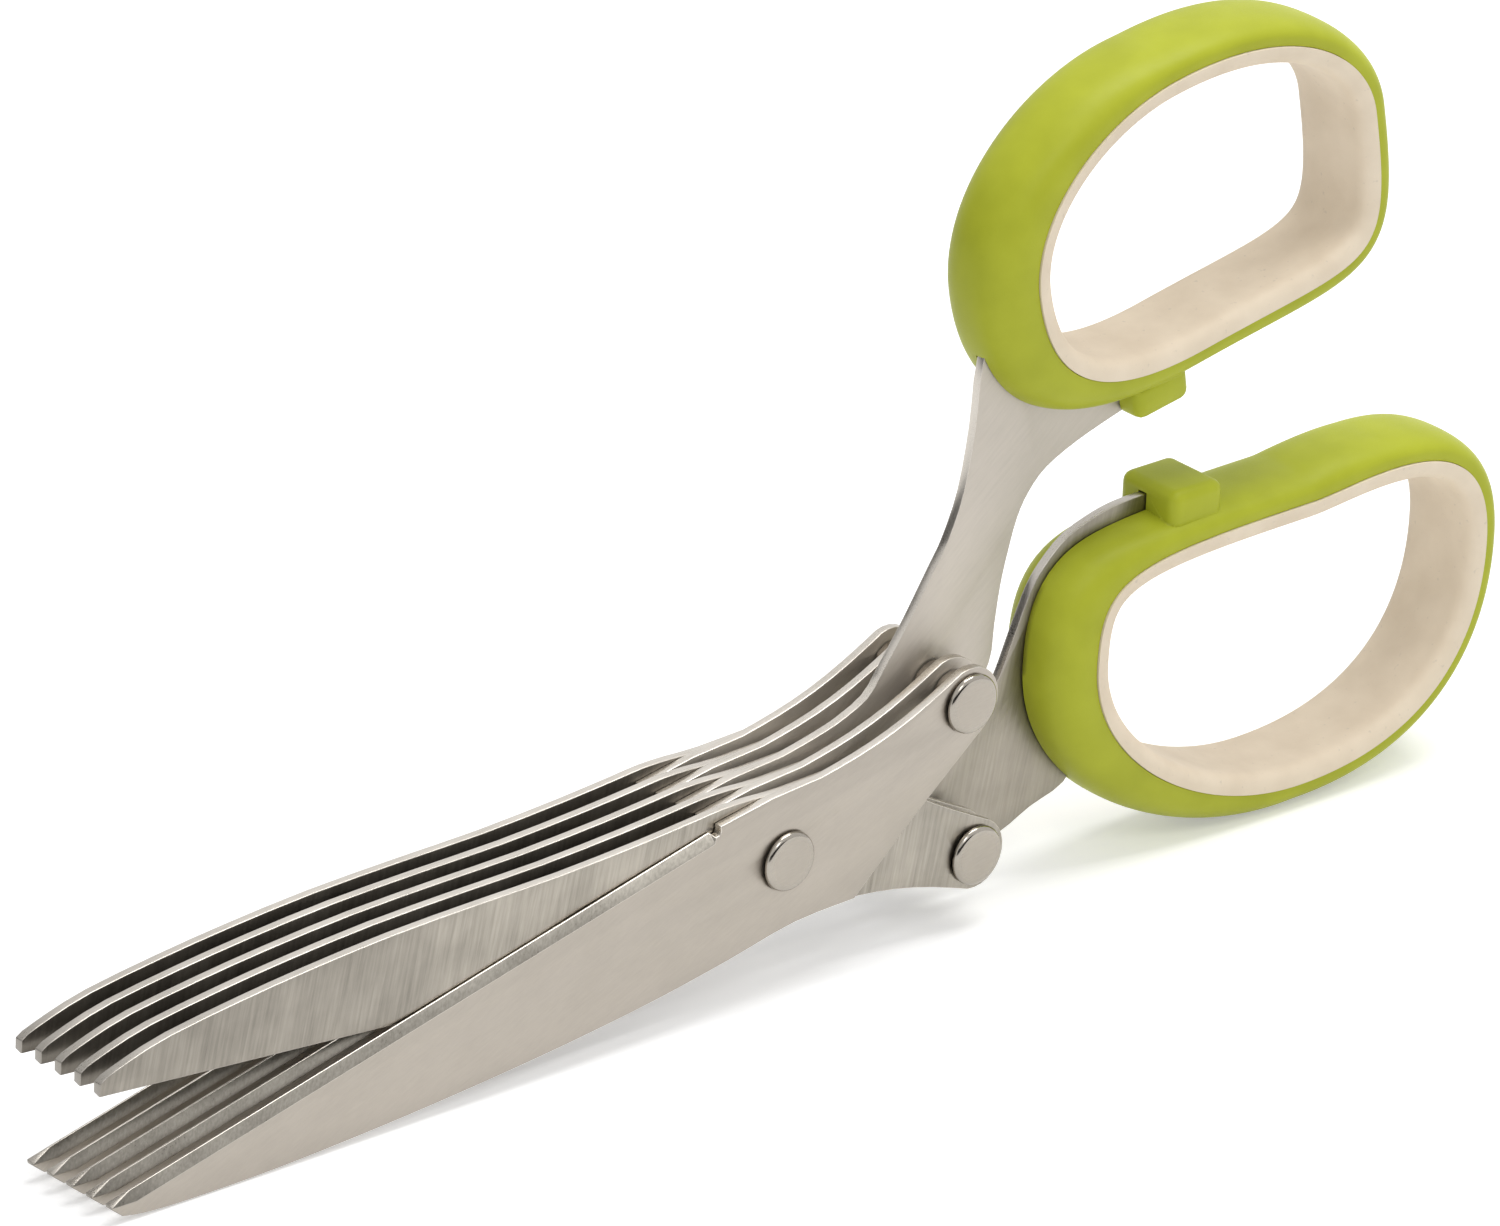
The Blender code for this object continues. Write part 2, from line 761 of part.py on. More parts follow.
def world_corners(items):
    """World positions of the evaluated vertices of some objects."""
    bpy.context.view_layer.update()
    graph = bpy.context.evaluated_depsgraph_get()
    spots = []
    for item in items:
        evaluated = item.evaluated_get(graph)
        data = evaluated.to_mesh()
        corners = np.empty(len(data.vertices) * 3, dtype=np.float64)
        data.vertices.foreach_get("co", corners)
        matrix = np.array(evaluated.matrix_world)
        spots.append(corners.reshape(-1, 3) @ matrix[:3, :3].T + matrix[:3, 3])
        evaluated.to_mesh_clear()
    return np.concatenate(spots)


def standing_tilt(blade_corners, handle_corners):
    """Turn about the pivot that brings both sets down to one floor."""
    low = -QUARTER_TURN / 2
    high = QUARTER_TURN / 2
    for step in range(LOOP_STEPS):
        tilt = (low + high) / 2
        sine = math.sin(tilt)
        cosine = math.cos(tilt)
        blade_floor = (blade_corners[:, 0] * sine + blade_corners[:, 2] * cosine).min()
        handle_floor = (handle_corners[:, 0] * sine + handle_corners[:, 2] * cosine).min()
        if blade_floor < handle_floor:
            high = tilt
        else:
            low = tilt
    return (low + high) / 2


def build():
    blade_steel = make_material("blade_steel", (0.55, 0.52, 0.48, 1.0), 0.35, 1.0)
    rivet_steel = make_material("rivet_steel", (0.62, 0.60, 0.57, 1.0), 0.25, 1.0)
    shell_green = make_material("shell_green", (0.39, 0.43, 0.035, 1.0), 0.42, 0.0)
    liner_cream = make_material("liner_cream", (0.76, 0.67, 0.55, 1.0), 0.6, 0.0)

    stand = add_empty("standing_frame")
    upper = add_empty("upper_handle_half", stand)
    lower = add_empty("lower_handle_half", stand)
    upper.rotation_euler = (0.0, -OPEN_ANGLE / 2, 0.0)
    lower.rotation_euler = (0.0, OPEN_ANGLE / 2, 0.0)
    flipped = add_empty("lower_handle_flip", lower)
    flipped.rotation_euler = (math.pi, 0.0, 0.0)

    upper_loop = Loop(
        Vector((UPPER_CENTRE_REACH, UPPER_CENTRE_RISE)),
        UPPER_TILT,
        (UPPER_TO_PIVOT, UPPER_TO_END, UPPER_TO_PARTNER, UPPER_TO_OUTSIDE),
        UPPER_FULLNESS_SHARES,
    )
    lower_loop = Loop(
        Vector((LOWER_CENTRE_REACH, LOWER_CENTRE_RISE)),
        LOWER_TILT,
        (LOWER_TO_PIVOT, LOWER_TO_END, LOWER_TO_PARTNER, LOWER_TO_OUTSIDE),
        LOWER_FULLNESS_SHARES,
    )

    lower_side = Side(
        (
            LOWER_EDGE_END_RISE,
            LOWER_NOSE_RISE,
            LOWER_NOSE_HEIGHT,
            LOWER_CHAMFER_RUN,
            LOWER_CHAMFER_DROP,
        ),
        LOWER_TAIL_REACH,
        LOWER_TAIL_RISE,
        LOWER_HEEL_REACH,
        LOWER_HEEL_DROP,
        LOWER_FLANK_SAG,
        LOWER_SPINE_SHARES,
    )
    upper_side = Side(
        (
            UPPER_EDGE_END_RISE,
            UPPER_NOSE_RISE,
            UPPER_NOSE_HEIGHT,
            UPPER_CHAMFER_RUN,
            UPPER_CHAMFER_DROP,
        ),
        UPPER_TAIL_REACH,
        UPPER_TAIL_RISE,
        UPPER_HEEL_REACH,
        UPPER_HEEL_DROP,
        UPPER_FLANK_SAG,
        UPPER_SPINE_SHARES,
    )
    long_lower, edge_count, upper_tang = lower_side.tang_outline(
        upper_loop,
        UPPER_ROOT_SHARES,
        UPPER_BACK_SHARES,
        UPPER_FRONT_SHARES,
        UPPER_TANG_LOOP_SHARES,
        STOP_LEVEL + UPPER_STOP_FLOOR,
    )
    long_upper, edge_count, lower_tang = upper_side.tang_outline(
        lower_loop,
        LOWER_ROOT_SHARES,
        LOWER_BACK_SHARES,
        LOWER_FRONT_SHARES,
        LOWER_TANG_LOOP_SHARES,
        -STOP_LEVEL + LOWER_STOP_FLOOR,
    )
    short_lower, edge_count = lower_side.short_outline()
    short_upper, edge_count = upper_side.short_outline()

    plates = {}
    for name, side, outline in (
        ("short_lower_blade", lower_side, short_lower),
        ("long_lower_blade", lower_side, long_lower),
        ("short_upper_blade", upper_side, short_upper),
        ("long_upper_blade", upper_side, long_upper),
    ):
        plates[name] = plate_mesh(name, side.tail, outline, edge_count)
        plates[name].materials.append(blade_steel)

    lower_blades = []
    for index in range(PAIR_COUNT):
        label = str(index + 1)
        length = "long_" if index == MIDDLE_PAIR else "short_"
        blade = add_object("lower_blade_" + label, plates[length + "lower_blade"], upper)
        blade.location.y = pair_centre(index) - PAIR_GAP / 2
        lower_blades.append(blade)
        blade = add_object("upper_blade_" + label, plates[length + "upper_blade"], flipped)
        blade.location.y = -pair_centre(index) - PAIR_GAP / 2

    near = -STACK_HALF - FACE_GAP
    far = STACK_HALF + FACE_GAP
    pivot_data = rivet_mesh("pivot_rivet", PIVOT_SHAFT_RADIUS, near, far)
    pivot_rivet = add_object("pivot_rivet", pivot_data, upper, rivet_steel)
    tail_data = rivet_mesh("tail_rivet", TAIL_SHAFT_RADIUS, near, far - PLATE_THICKNESS - PAIR_GAP)
    tail_data.materials.append(rivet_steel)
    washer_data = ring_mesh("pivot_washer", BORE_PIVOT_RADIUS, WASHER_RADIUS, WASHER_THICKNESS)
    washer_data.materials.append(rivet_steel)
    spacer_data = ring_mesh("tail_spacer", BORE_TAIL_RADIUS, SPACER_RADIUS, SPACER_LENGTH)
    spacer_data.materials.append(rivet_steel)
    for label, tail, parent, depth_sign in (
        ("upper", lower_side.tail, upper, 1.0),
        ("lower", upper_side.tail, flipped, -1.0),
    ):
        rivet = add_object(label + "_tail_rivet", tail_data, parent)
        rivet.location = (tail.x, 0.0, tail.y)
        for index in range(PAIR_COUNT - 1):
            spacer = add_object(label + "_tail_spacer_" + str(index + 1), spacer_data, parent)
            between = (pair_centre(index) + pair_centre(index + 1)) / 2 * depth_sign
            depth = between - (PAIR_GAP + PLATE_THICKNESS) / 2
            spacer.location = (tail.x, depth, tail.y)
    for index in range(PAIR_COUNT - 1):
        washer = add_object("pivot_washer_" + str(index + 1), washer_data, upper)
        washer.location.y = (pair_centre(index) + pair_centre(index + 1)) / 2

    add_handle("upper", upper_loop, upper_tang, STOP_LEVEL, upper, shell_green, liner_cream)
    lower_shell, lower_liner = add_handle(
        "lower", lower_loop, lower_tang, -STOP_LEVEL, flipped, shell_green, liner_cream
    )

    tilt = standing_tilt(world_corners(lower_blades), world_corners([lower_shell]))
    stand.rotation_euler = (0.0, -tilt, 0.0)
    pieces = [item for item in bpy.data.objects if item.type == "MESH" and not item.hide_render]
    corners = world_corners(pieces)
    low_corner = corners.min(axis=0)
    high_corner = corners.max(axis=0)
    stand.location = (
        -(low_corner[0] + high_corner[0]) / 2,
        -(low_corner[1] + high_corner[1]) / 2,
        -low_corner[2],
    )
    bpy.context.view_layer.update()
    print("pivot", tuple(round(value, 6) for value in pivot_rivet.matrix_world.translation))
    print("tilt degrees", round(math.degrees(tilt), 3))
    print("size", tuple(round(value, 5) for value in high_corner - low_corner))


build()
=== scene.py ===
import math

import bmesh
import bpy
from mathutils import Matrix, Vector


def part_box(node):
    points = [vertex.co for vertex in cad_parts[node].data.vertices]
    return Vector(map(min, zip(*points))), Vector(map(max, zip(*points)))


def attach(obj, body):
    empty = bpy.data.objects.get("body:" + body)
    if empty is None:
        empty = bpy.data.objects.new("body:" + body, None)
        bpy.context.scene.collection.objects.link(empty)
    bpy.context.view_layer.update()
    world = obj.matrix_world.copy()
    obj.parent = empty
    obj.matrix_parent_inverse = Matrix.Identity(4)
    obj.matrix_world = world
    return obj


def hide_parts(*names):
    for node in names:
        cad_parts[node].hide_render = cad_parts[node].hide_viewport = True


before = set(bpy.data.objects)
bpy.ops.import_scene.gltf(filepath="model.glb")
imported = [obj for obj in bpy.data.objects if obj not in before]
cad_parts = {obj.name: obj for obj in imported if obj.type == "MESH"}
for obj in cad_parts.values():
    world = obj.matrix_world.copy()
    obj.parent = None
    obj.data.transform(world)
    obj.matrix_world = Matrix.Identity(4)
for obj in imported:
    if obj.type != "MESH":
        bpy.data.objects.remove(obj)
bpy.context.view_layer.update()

# Camera of the photograph: turn, rise and roll, distance and view
IMAGE_WIDTH = 1500
IMAGE_HEIGHT = 1226
PIVOT_PIXEL = (787.33, 860.12)
CAMERA_TURN = math.radians(-42.255)
CAMERA_RISE = math.radians(24.41)
CAMERA_ROLL = math.radians(2.599)
CAMERA_DISTANCE = 1.8110
CAMERA_FOCAL_PIXELS = 18121.0
CAMERA_CLIP_START = 0.01
CAMERA_CLIP_END = 50.0
SENSOR_WIDTH = 36.0

# Meshes: points that are one, faces that lie flat together, edges that stay sharp
MERGE_DISTANCE = 1e-6
FINE_MERGE_DISTANCE = 1e-7
FLAT_ANGLE = math.radians(0.3)
SMOOTH_ANGLE = math.radians(35.0)

# Blades: order of a plate's finishes, how flat its faces lie, and the rounding of its edges
FACE, BEVEL, RIM, BETWEEN = range(4)
FACE_FLATNESS = 0.98
BEVEL_FLATNESS = 0.3
PLATE_SHARP_ANGLE = math.radians(32.0)
PLATE_ROUND = 0.00007
KNIFE_ROUND = 0.00003
PLATE_ROUND_STEPS = 2

# Number of the outermost plate on each side
OUTERMOST_PLATE = {"front": "1", "back": "5"}

# Ends of the plates along X, between which their painted shade changes
NOSE_END = -0.10
TAIL_END = 0.03

# Tails, seen from the pivot with the half closed
UPPER_TAIL = Vector((0.0254, 0.0065))
LOWER_TAIL = Vector((0.0266, -0.0071))

# Rivets and rings, with the order of a rivet's finishes
HEAD_FACE, HEAD_RIM = range(2)
HEAD_RADIUS = 0.0032
HEAD_FACE_RADIUS = 0.0026
HEAD_FACE_SHARES = (0.6, 0.93)
HEAD_FACE_LIMIT = 0.96
HEAD_HEIGHT = 0.0007
HEAD_UNDERCUT = 0.00016
HEAD_RIM_STEPS = 8
HEAD_SMOOTH_ANGLE = math.radians(50.0)
PIVOT_SHAFT_RADIUS = 0.0018
TAIL_SHAFT_RADIUS = 0.0015
BORE_CLEARANCE = 0.00008
RING_ROUND = 0.00012
RING_ROUND_MIDDLE = 0.3
TURN_STEPS = 72

# Handles: section on each side of the seam between shell and liner
HANDLE_DEPTH = 0.0100
SHELL_WALL = 0.0026
SHELL_PIVOT_WALL = 0.0058
SHELL_RIM_LAND = 0.0006
SHELL_ROUNDNESS = 2.4
SHELL_STEPS = 30
RIM_ROUND = 0.00012
RIM_ROUND_STEPS = 4
LINER_WALL = 0.0021
LINER_GAP = 0.00003
LINER_PROUD = 0.0002
LINER_ROUND = 0.0017
LINER_SEAM_ROUND = 0.00005
LINER_ROUND_STEPS = 10
TANG_ROOM = 0.00022

# Seams, seen from the pivot with the halves closed, the lower one flipped over.
# Reaches go towards the pivot, the end, the partner and the outside, and fullness is the quarters'.
SEAM_STEPS = 220
SEAM_FINE_STEPS = 200
UPPER_SEAM = {
    "centre": (0.0617, 0.0461),
    "tilt": math.radians(1.4),
    "reaches": (0.0205, 0.0256, 0.0157, 0.0156),
    "fullness": ((0.89, 1.19), (0.48, 0.63), (0.51, 0.58), (0.65, 0.71)),
}
LOWER_SEAM = {
    "centre": (0.0724, -0.0087),
    "tilt": math.radians(-0.3),
    "reaches": (0.0292, 0.0249, 0.0109, 0.0210),
    "fullness": ((0.25, 1.45), (0.62, 0.66), (0.49, 0.52), (0.91, 0.88)),
}

# Stop blocks, and the level where the two meet, seen from the pivot with the halves closed
STOP_REACH = 0.0569
STOP_LENGTH = 0.0071
STOP_DEPTH = 0.0084
STOP_GAP = 0.0002
STOP_ROUND = 0.0012
STOP_ROUND_STEPS = 4
LOW_SIDE = LOWER_SEAM["reaches"][2] - LOWER_SEAM["centre"][1] + SHELL_WALL
HIGH_SIDE = UPPER_SEAM["centre"][1] - UPPER_SEAM["reaches"][2] - SHELL_WALL
STOP_LEVEL = (LOW_SIDE + HIGH_SIDE) / 2

# Noise in the finishes: the span of values that it fills, then its grain, stains, pebble and specks
NOISE_START = 0.3
NOISE_END = 0.7
GRAIN_DETAIL = 4.0
GRAIN_ROUGHNESS = 0.6
STAIN_DETAIL = 3.0
STEEL_STAIN_SIZE = 0.006
STEEL_STAIN_SHARE = 0.45
PEBBLE_DETAIL = 2.0
SPECK_DETAIL = 1.0
SPECK_START = 0.70
SPECK_END = 0.80
SPECK_STRENGTH = 0.3

# Studio
WORLD_LIGHT = 0.50
FLOOR_HALF = 4.0
FLOOR_DROP = 0.0002
FLOOR_LIFT = 0.35
FLOOR_GREY = 0.9
FLOOR_ROUGHNESS = 0.95
SHEET_GREY = 0.01
SHEET_ROUGHNESS = 0.9

# Name, width, height and place of each dark sheet, and whether it dims the light on matt surfaces
DARK_SHEETS = (
    ("dark_room", 2.4, 0.55, (-0.45, -1.2, 0.27), False),
    ("dark_side", 1.3, 0.45, (-0.80, 0.60, 0.22), True),
)

# Name, place, size and energy of each lamp
LAMPS = (
    ("top_light", (0.30, -0.05, 1.15), 0.7, 8.6),
    ("window_light", (-0.30, -0.70, 0.80), 0.30, 1.6),
)


def centre_of(node):
    """Middle of a node's box."""
    low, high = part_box(node)
    return (Vector(low) + Vector(high)) / 2


PIVOT = centre_of("pivot_rivet")


def photo_camera():
    """Camera that puts the pivot, on the front plate's face, at its place in the picture."""
    pivot = PIVOT.copy()
    pivot.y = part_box("lower_blade_1")[0][1]
    right = Vector((math.cos(CAMERA_TURN), math.sin(CAMERA_TURN), 0.0))
    back = Vector(
        (
            math.sin(CAMERA_TURN) * math.cos(CAMERA_RISE),
            -math.cos(CAMERA_TURN) * math.cos(CAMERA_RISE),
            math.sin(CAMERA_RISE),
        )
    )
    up = back.cross(right)
    cosine = math.cos(CAMERA_ROLL)
    sine = math.sin(CAMERA_ROLL)
    right, up = right * cosine + up * sine, up * cosine - right * sine
    axes = Matrix((right, up, back)).transposed()
    across = (PIVOT_PIXEL[0] - IMAGE_WIDTH / 2) / CAMERA_FOCAL_PIXELS * CAMERA_DISTANCE
    down = (PIVOT_PIXEL[1] - IMAGE_HEIGHT / 2) / CAMERA_FOCAL_PIXELS * CAMERA_DISTANCE
    place = pivot - right * across + up * down + back * CAMERA_DISTANCE
    data = bpy.data.cameras.new("photo_camera")
    data.sensor_fit = "HORIZONTAL"
    data.sensor_width = SENSOR_WIDTH
    data.lens = CAMERA_FOCAL_PIXELS / IMAGE_WIDTH * SENSOR_WIDTH
    data.clip_start = CAMERA_CLIP_START
    data.clip_end = CAMERA_CLIP_END
    camera = bpy.data.objects.new("photo_camera", data)
    bpy.context.scene.collection.objects.link(camera)
    camera.matrix_world = Matrix.Translation(place) @ axes.to_4x4()
    bpy.context.scene.camera = camera


# Finishes


def new_finish(name):
    """A material with its shader, a function that adds a node and one that links to the shader."""
    material = bpy.data.materials.new(name)
    material.use_nodes = True
    tree = material.node_tree
    shader = tree.nodes["Principled BSDF"]

    def add(kind, links=(), **settings):
        node = tree.nodes.new(kind)
        for key, value in settings.items():
            setattr(node, key, value)
        for socket, source in links:
            tree.links.new(source, node.inputs[socket])
        return node

    def link(source, socket):
        tree.links.new(source, shader.inputs[socket])

    return material, shader, add, link


def grain(add, turn, along, across):
    """Noise drawn out along one direction of the plates' plane, sizes in metres."""
    place = add("ShaderNodeTexCoord")
    drawn = add("ShaderNodeMapping", [("Vector", place.outputs["Object"])], vector_type="TEXTURE")
    drawn.inputs["Rotation"].default_value = (0.0, -math.radians(turn), 0.0)
    drawn.inputs["Scale"].default_value = (along, across, across)
    noise = add("ShaderNodeTexNoise", [("Vector", drawn.outputs["Vector"])])
    noise.inputs["Scale"].default_value = 1.0
    noise.inputs["Detail"].default_value = GRAIN_DETAIL
    noise.inputs["Roughness"].default_value = GRAIN_ROUGHNESS
    return noise.outputs["Fac"]


def blotches(add, size, detail):
    """Even noise with blotches of one size, in metres."""
    place = add("ShaderNodeTexCoord")
    drawn = add("ShaderNodeMapping", [("Vector", place.outputs["Object"])], vector_type="TEXTURE")
    drawn.inputs["Scale"].default_value = (size, size, size)
    noise = add("ShaderNodeTexNoise", [("Vector", drawn.outputs["Vector"])])
    noise.inputs["Scale"].default_value = 1.0
    noise.inputs["Detail"].default_value = detail
    return noise.outputs["Fac"]


def spread(add, source, low, high, start=NOISE_START, end=NOISE_END):
    """A value between start and end carried to the range from low to high."""
    node = add("ShaderNodeMapRange", [("Value", source)])
    node.inputs["From Min"].default_value = start
    node.inputs["From Max"].default_value = end
    node.inputs["To Min"].default_value = low
    node.inputs["To Max"].default_value = high
    return node.outputs["Result"]


def tinted(add, source, dark, light):
    """A noise value turned into a colour between dark and light."""
    ramp = add("ShaderNodeValToRGB", [("Fac", source)])
    first, last = ramp.color_ramp.elements
    first.position = NOISE_START
    first.color = (*dark, 1.0)
    last.position = NOISE_END
    last.color = (*light, 1.0)
    return ramp.outputs["Color"]


def painted_shade_along(add, colour, painted_shades):
    """A colour darkened along the plates by painted shade, at given places from nose to tail."""
    place = add("ShaderNodeTexCoord")
    reach = add("ShaderNodeSeparateXYZ", [("Vector", place.outputs["Object"])])
    share = spread(add, reach.outputs["X"], 0.0, 1.0, NOSE_END, TAIL_END)
    ramp = add("ShaderNodeValToRGB", [("Fac", share)])
    stops = ramp.color_ramp.elements
    while len(stops) < len(painted_shades):
        stops.new(1.0)
    for stop, (where, shade) in zip(stops, painted_shades):
        stop.position = (where - NOSE_END) / (TAIL_END - NOSE_END)
        stop.color = (shade, shade, shade, 1.0)
    both = [("A", colour), ("B", ramp.outputs["Color"])]
    product = add("ShaderNodeMix", both, data_type="RGBA", blend_type="MULTIPLY")
    product.inputs["Factor"].default_value = 1.0
    return product.outputs["Result"]


def raised(add, height, depth):
    """Normals of a surface on which a noise stands up by a depth, in metres."""
    bump = add("ShaderNodeBump", [("Height", height)])
    bump.inputs["Strength"].default_value = 1.0
    bump.inputs["Distance"].default_value = depth
    return bump.outputs["Normal"]


def steel_finish(name, dark, light, roughness, turn, along, across, depth, painted_shades=None):
    """Stainless steel with a ground grain, uneven gloss, faint stains and maybe painted shade along the
    plates.
    """
    material, shader, add, link = new_finish(name)
    shader.inputs["Metallic"].default_value = 1.0
    lines = grain(add, turn, along, across)
    cloud = blotches(add, STEEL_STAIN_SIZE, STAIN_DETAIL)
    both = add("ShaderNodeMix", [("A", lines), ("B", cloud)], data_type="FLOAT")
    both.inputs["Factor"].default_value = STEEL_STAIN_SHARE
    colour = tinted(add, both.outputs["Result"], dark, light)
    # Painted shade: the colour is darkened at given places along the plates
    if painted_shades is not None:
        colour = painted_shade_along(add, colour, painted_shades)
    link(colour, "Base Color")
    link(spread(add, both.outputs["Result"], *roughness), "Roughness")
    link(raised(add, lines, depth), "Normal")
    return material


def plastic_finish(name, dark, light, roughness, gloss, pebble, depth, stain, specks=None):
    """Moulded plastic with a fine pebble, slight shade differences and maybe specks."""
    material, shader, add, link = new_finish(name)
    shader.inputs["Specular IOR Level"].default_value = gloss
    colour = tinted(add, blotches(add, stain, STAIN_DETAIL), dark, light)
    if specks is not None:
        speck_size, speck_colour = specks
        dots = blotches(add, speck_size, SPECK_DETAIL)
        share = spread(add, dots, 0.0, SPECK_STRENGTH, SPECK_START, SPECK_END)
        mixed = add("ShaderNodeMix", [("Factor", share), ("A", colour)], data_type="RGBA")
        mixed.inputs["B"].default_value = (*speck_colour, 1.0)
        colour = mixed.outputs["Result"]
    link(colour, "Base Color")
    fine = blotches(add, pebble, PEBBLE_DETAIL)
    link(spread(add, fine, *roughness), "Roughness")
    link(raised(add, fine, depth), "Normal")
    return material


# Shapes


def merged_copy(node):
    """A node's solid as one closed mesh with whole flat faces."""
    bm = bmesh.new()
    bm.from_mesh(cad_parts[node].data)
    bmesh.ops.transform(bm, matrix=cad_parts[node].matrix_world, verts=bm.verts)
    bmesh.ops.remove_doubles(bm, verts=bm.verts, dist=MERGE_DISTANCE)
    bmesh.ops.dissolve_limit(bm, angle_limit=FLAT_ANGLE, verts=bm.verts, edges=bm.edges)
    return bm


def new_object(name, bm):
    """An object in the scene with bm as its mesh."""
    data = bpy.data.meshes.new(name)
    bm.to_mesh(data)
    bm.free()
    item = bpy.data.objects.new(name, data)
    bpy.context.scene.collection.objects.link(item)
    return item


def show(node, bm, finishes, body, smooth=SMOOTH_ANGLE):
    """Makes the piece that stands for a node, and lets it ride on its body."""
    item = new_object("shown_" + node, bm)
    for finish in finishes:
        item.data.materials.append(finish)
    item.data.shade_smooth()
    item.data.set_sharp_from_angle(angle=smooth)
    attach(item, body)
    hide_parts(node)


def softened(bm, edges, offset, segments, material):
    """Rounds some edges of a mesh."""
    bmesh.ops.bevel(
        bm,
        geom=edges,
        offset=offset,
        offset_type="OFFSET",
        segments=segments,
        profile=0.5,
        affect="EDGES",
        clamp_overlap=True,
        material=material,
    )


def sharp_edges(bm, ground):
    """Edges where two faces of a plate meet sharply, along the ground bevel or elsewhere."""
    found = []
    for edge in bm.edges:
        if len(edge.link_faces) != 2 or edge.calc_face_angle() < PLATE_SHARP_ANGLE:
            continue
        kinds = {face.material_index for face in edge.link_faces}
        if (BEVEL in kinds and RIM not in kinds) == ground:
            found.append(edge)
    return found


def plate(node, body, finishes, inner_sides):
    """A blade: flat faces, ground cutting bevel, stamped rim with softened edges."""
    bm = merged_copy(node)
    middle = centre_of(node).y
    for face in bm.faces:
        flat = abs(face.normal.y)
        side = "front" if face.calc_center_median().y < middle else "back"
        if flat > FACE_FLATNESS:
            # Faces between plates take the last finish, painted lighter on the lower blades and painted
            # darker on the upper ones
            face.material_index = BETWEEN if side in inner_sides else FACE
        else:
            face.material_index = BEVEL if flat > BEVEL_FLATNESS else RIM
    for ground, offset in ((False, PLATE_ROUND), (True, KNIFE_ROUND)):
        softened(bm, sharp_edges(bm, ground), offset, PLATE_ROUND_STEPS, RIM)
    show(node, bm, finishes, body)


def turned(profile, place):
    """A closed solid turned about the depth axis from (radius, depth) points."""
    bm = bmesh.new()
    line = [bm.verts.new((radius, depth, 0.0)) for radius, depth in profile]
    edges = [bm.edges.new(pair) for pair in zip(line, line[1:])]
    bmesh.ops.spin(
        bm,
        geom=line + edges,
        cent=(0.0, 0.0, 0.0),
        axis=(0.0, 1.0, 0.0),
        angle=math.tau,
        steps=TURN_STEPS,
        use_merge=True,
        use_duplicate=False,
    )
    bmesh.ops.remove_doubles(bm, verts=bm.verts, dist=FINE_MERGE_DISTANCE)
    bmesh.ops.recalc_face_normals(bm, faces=bm.faces)
    bmesh.ops.translate(bm, verts=bm.verts, vec=place)
    return bm


def rivet(node, body, finishes):
    """A rivet with a satin face, a polished round rim and a dark line under it."""
    low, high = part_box(node)
    place = centre_of(node)
    near = low[1] - place.y
    far = high[1] - place.y
    shaft = PIVOT_SHAFT_RADIUS if node == "pivot_rivet" else TAIL_SHAFT_RADIUS
    rim = []
    for step in range(HEAD_RIM_STEPS + 1):
        angle = math.pi / 2 * step / HEAD_RIM_STEPS
        radius = HEAD_FACE_RADIUS + (HEAD_RADIUS - HEAD_FACE_RADIUS) * math.sin(angle)
        rim.append((radius, (HEAD_HEIGHT - HEAD_UNDERCUT) * (1.0 - math.cos(angle))))
    rim.append((HEAD_RADIUS - HEAD_UNDERCUT, HEAD_HEIGHT))
    flat = [0.0] + [HEAD_FACE_RADIUS * share for share in HEAD_FACE_SHARES]
    profile = [(radius, near) for radius in flat]
    profile += [(radius, near + depth) for radius, depth in rim]
    profile += [(shaft, near + HEAD_HEIGHT), (shaft, far - HEAD_HEIGHT)]
    profile += [(radius, far - depth) for radius, depth in reversed(rim)]
    profile += [(radius, far) for radius in reversed(flat)]
    bm = turned(profile, place)
    for face in bm.faces:
        away = (face.calc_center_median() - place) * Vector((1.0, 0.0, 1.0))
        on_face = away.length < HEAD_FACE_RADIUS * HEAD_FACE_LIMIT
        face.material_index = HEAD_FACE if on_face else HEAD_RIM
    show(node, bm, finishes, body, HEAD_SMOOTH_ANGLE)


def ring(node, body, finish):
    """A washer or spacer sleeve with softened edges."""
    low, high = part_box(node)
    radius = (high[0] - low[0]) / 2
    half = (high[1] - low[1]) / 2
    shaft = PIVOT_SHAFT_RADIUS if node.startswith("pivot") else TAIL_SHAFT_RADIUS
    bore = shaft + BORE_CLEARANCE
    soft = RING_ROUND
    middle = RING_ROUND * RING_ROUND_MIDDLE
    profile = [
        (bore, -half),
        (radius - soft, -half),
        (radius - middle, -half + middle),
        (radius, -half + soft),
        (radius, half - soft),
        (radius - middle, half - middle),
        (radius - soft, half),
        (bore, half),
        (bore, -half),
    ]
    show(node, turned(profile, centre_of(node)), [finish], body)


def half_frame(tail_node, tail):
    """Matrix from a closed half, seen from the pivot, to where the half stands."""
    reach = centre_of(tail_node) - PIVOT
    angle = math.atan2(reach.z, reach.x) - math.atan2(tail.y, tail.x)
    return Matrix.Translation(PIVOT) @ Matrix.Rotation(-angle, 4, "Y")


def seam_curve(seam):
    """Fine points of a closed seam: four curved quarters between its farthest points."""
    to_pivot, to_end, to_partner, to_outside = seam["reaches"]
    corners = [
        Vector((0, -to_partner)),
        Vector((-to_pivot, 0)),
        Vector((0, to_outside)),
        Vector((to_end, 0)),
    ]
    turn = Matrix.Rotation(seam["tilt"], 2)
    centre = Vector(seam["centre"])
    curve = []
    for index, (full_end, full_start) in enumerate(reversed(seam["fullness"])):
        start = corners[index]
        end = corners[(index + 1) % len(corners)]
        bend = start + end
        first = start.lerp(bend, full_start)
        second = end.lerp(bend, full_end)
        for step in range(SEAM_FINE_STEPS):
            t = step / SEAM_FINE_STEPS
            a = start.lerp(first, t)
            b = first.lerp(second, t)
            c = second.lerp(end, t)
            curve.append(centre + turn @ a.lerp(b, t).lerp(b.lerp(c, t), t))
    return curve


